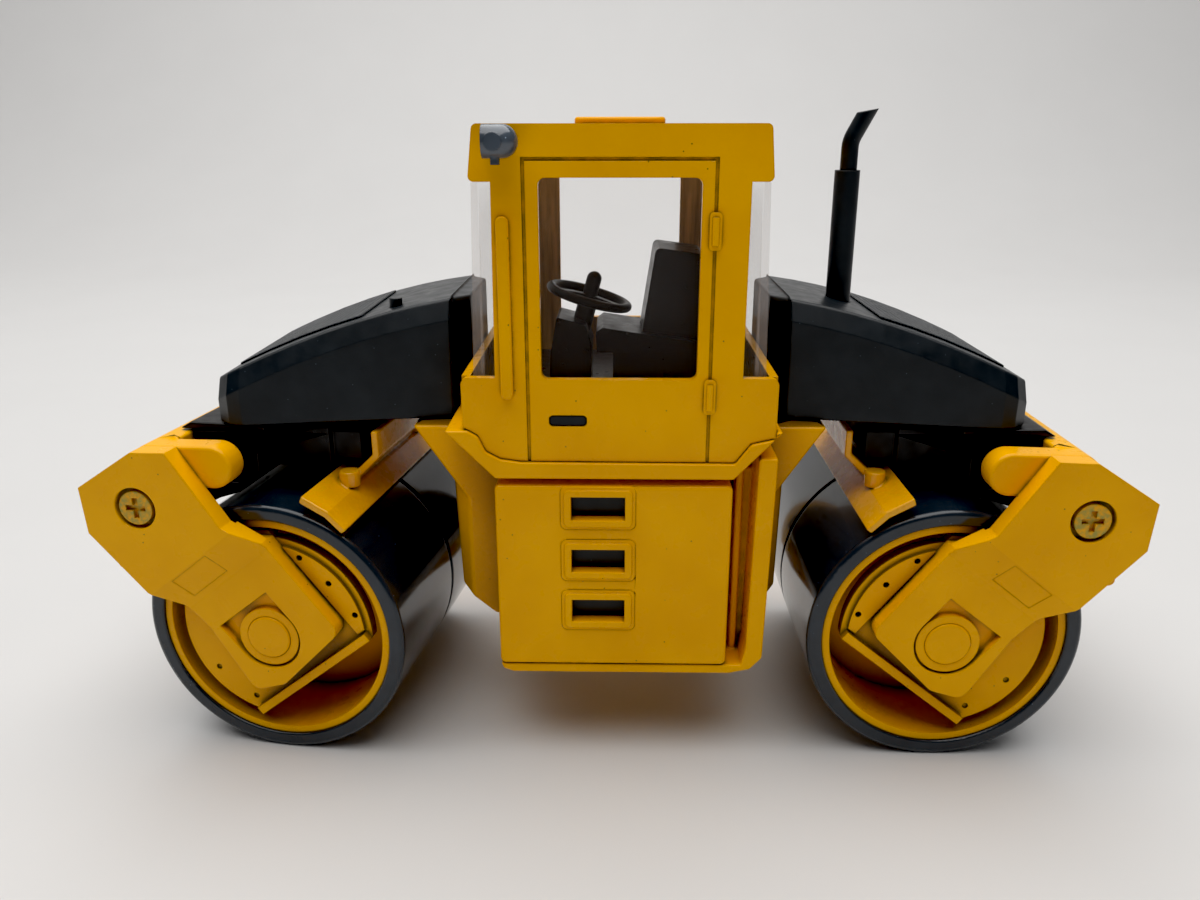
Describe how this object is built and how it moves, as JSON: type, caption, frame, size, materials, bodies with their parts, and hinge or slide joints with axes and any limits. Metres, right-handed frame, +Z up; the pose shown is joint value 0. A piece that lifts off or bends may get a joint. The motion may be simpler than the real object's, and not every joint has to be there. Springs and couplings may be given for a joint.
{
  "type": "toy road roller",
  "caption": "Die-cast toy tandem road roller: glazed cab on a frame between two yokes that steer, each with a split rolling drum.",
  "frame": {"origin": "centre of the bounding box at ground level, where the drums stand", "axes": "+X along the machine towards the rear (exhaust) end, +Y across it towards the far side, +Z up"},
  "size_m": [0.149, 0.059, 0.0935],
  "materials": {
    "yellow_paint": "gloss yellow enamel on die-cast zinc",
    "yellow_plastic": "yellow moulded plastic, satin gloss",
    "dark_plastic": "dark blue-grey moulded plastic, glossy",
    "drum_plastic": "dark blue-grey plastic, polished",
    "black_plastic": "black moulded plastic, satin",
    "clear_plastic": "clear moulded plastic with a faint pink tint",
    "steel_pin": "plain steel"
  },
  "bodies": {
    "machine": {"cab_floor": "black_plastic", "cab_glazing": "clear_plastic", "cab_platform": "yellow_paint", "cab_shell": "yellow_paint", "chassis_frame": "yellow_paint", "control_console": "black_plastic", "door_handles": "dark_plastic", "door_hinges": "yellow_paint", "exhaust_stack": "dark_plastic", "exhaust_tip": "dark_plastic", "front_hood": "dark_plastic", "front_hood_grille": "dark_plastic", "front_pivot_pin": "steel_pin", "grab_rails": "yellow_paint", "hood_knob": "dark_plastic", "rear_hood": "dark_plastic", "rear_hood_grille": "dark_plastic", "rear_pivot_pin": "steel_pin", "roof_panel": "yellow_paint", "seat_back": "black_plastic", "seat_cushion": "black_plastic", "seat_pedestal": "black_plastic", "side_bin_far": "yellow_paint", "side_bin_near": "yellow_paint", "side_tray_far": "yellow_paint", "side_tray_near": "yellow_paint", "steering_column": "black_plastic", "vent_inserts": "dark_plastic", "work_lights": "dark_plastic"},
    "front_yoke": {"front_arm_far": "yellow_paint", "front_arm_near": "yellow_paint", "front_arm_screws": "yellow_paint", "front_axle": "yellow_paint", "front_crossbeam": "yellow_paint", "front_hub_plate_far": "yellow_paint", "front_hub_plate_near": "yellow_paint", "front_inner_scraper": "yellow_plastic", "front_outer_scraper": "black_plastic", "front_steering_head": "black_plastic"},
    "rear_yoke": {"rear_arm_far": "yellow_paint", "rear_arm_near": "yellow_paint", "rear_arm_screws": "yellow_paint", "rear_axle": "yellow_paint", "rear_crossbeam": "yellow_paint", "rear_hub_plate_far": "yellow_paint", "rear_hub_plate_near": "yellow_paint", "rear_inner_scraper": "yellow_plastic", "rear_outer_scraper": "black_plastic", "rear_steering_head": "black_plastic"},
    "front_drum_near": {"front_drum_shell_near": "drum_plastic", "front_drum_wheel_near": "yellow_plastic"},
    "front_drum_far": {"front_drum_shell_far": "drum_plastic", "front_drum_wheel_far": "yellow_plastic"},
    "rear_drum_near": {"rear_drum_shell_near": "drum_plastic", "rear_drum_wheel_near": "yellow_plastic"},
    "rear_drum_far": {"rear_drum_shell_far": "drum_plastic", "rear_drum_wheel_far": "yellow_plastic"},
    "steering_wheel": {"steering_wheel": "black_plastic"}
  },
  "joints": [
    {"name": "front_steer", "type": "hinge", "parent": "machine", "child": "front_yoke", "pos_m": [-0.0459, -0.00136, 0.049], "axis": [0, 0, 1], "range_deg": [-4.5, 20.5]},
    {"name": "front_drum_near_roll", "type": "hinge", "parent": "front_yoke", "child": "front_drum_near", "pos_m": [-0.04757, -0.01324, 0.02], "axis": [0.1392, 0.9903, 0], "continuous": true},
    {"name": "front_drum_far_roll", "type": "hinge", "parent": "front_yoke", "child": "front_drum_far", "pos_m": [-0.04423, 0.01053, 0.02], "axis": [0.1392, 0.9903, 0], "continuous": true},
    {"name": "rear_steer", "type": "hinge", "parent": "machine", "child": "rear_yoke", "pos_m": [0.0495, -0.00136, 0.049], "axis": [0, 0, 1], "range_deg": [-12.5, 12.5]},
    {"name": "rear_drum_near_roll", "type": "hinge", "parent": "rear_yoke", "child": "rear_drum_near", "pos_m": [0.0495, -0.01336, 0.02], "axis": [0, 1, 0], "continuous": true},
    {"name": "rear_drum_far_roll", "type": "hinge", "parent": "rear_yoke", "child": "rear_drum_far", "pos_m": [0.0495, 0.01064, 0.02], "axis": [0, 1, 0], "continuous": true},
    {"name": "steering_wheel_turn", "type": "hinge", "parent": "machine", "child": "steering_wheel", "pos_m": [-0.0029, -0.00136, 0.0661], "axis": [0.2672, 0, 0.9636], "continuous": true}
  ]
}
